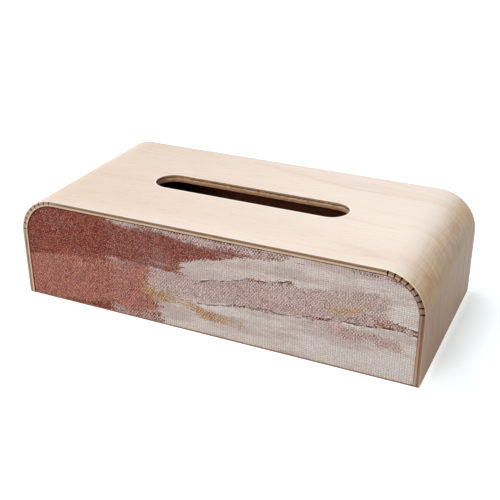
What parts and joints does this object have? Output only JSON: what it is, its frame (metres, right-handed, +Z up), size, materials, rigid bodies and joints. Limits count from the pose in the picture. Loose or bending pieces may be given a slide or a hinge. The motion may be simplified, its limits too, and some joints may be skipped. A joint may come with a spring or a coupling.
{
  "type": "tissue box with drawer",
  "caption": "Rounded plywood tissue box with a slot in the top and a canvas-fronted drawer that slides out to load a pack of tissues.",
  "frame": {"origin": "on the floor under the middle of the box", "axes": "+X to the right along the long side, +Y from the canvas front to the back, +Z up"},
  "size_m": [0.285, 0.133, 0.0747],
  "materials": {
    "face_veneer": "pale maple veneer, satin",
    "plywood": "sawn plywood edge, bare",
    "panel_wood": "birch plywood, bare",
    "hardwood": "planed beech, bare",
    "drawer_wood": "lauan plywood, dark stain",
    "felt": "grey felt",
    "canvas": "painted canvas",
    "steel": "bright steel"
  },
  "bodies": {
    "case": {"face_veneer": "face_veneer", "bent_board": "plywood", "back_panel": "panel_wood", "base_board": "panel_wood", "runner_left": "hardwood", "runner_right": "hardwood", "stop_batten": "hardwood", "foot_pads": "felt"},
    "drawer": {"art_board": "panel_wood", "front_canvas": "canvas", "drawer_box_front": "drawer_wood", "drawer_side_left": "drawer_wood", "drawer_side_right": "drawer_wood", "drawer_back": "drawer_wood", "drawer_bottom": "drawer_wood", "drawer_pins": "steel", "panel_screws": "steel"}
  },
  "joints": [
    {"name": "drawer_slide", "type": "slide", "parent": "case", "child": "drawer", "axis": [0, -1, 0], "range_m": [0, 0.1095]}
  ]
}
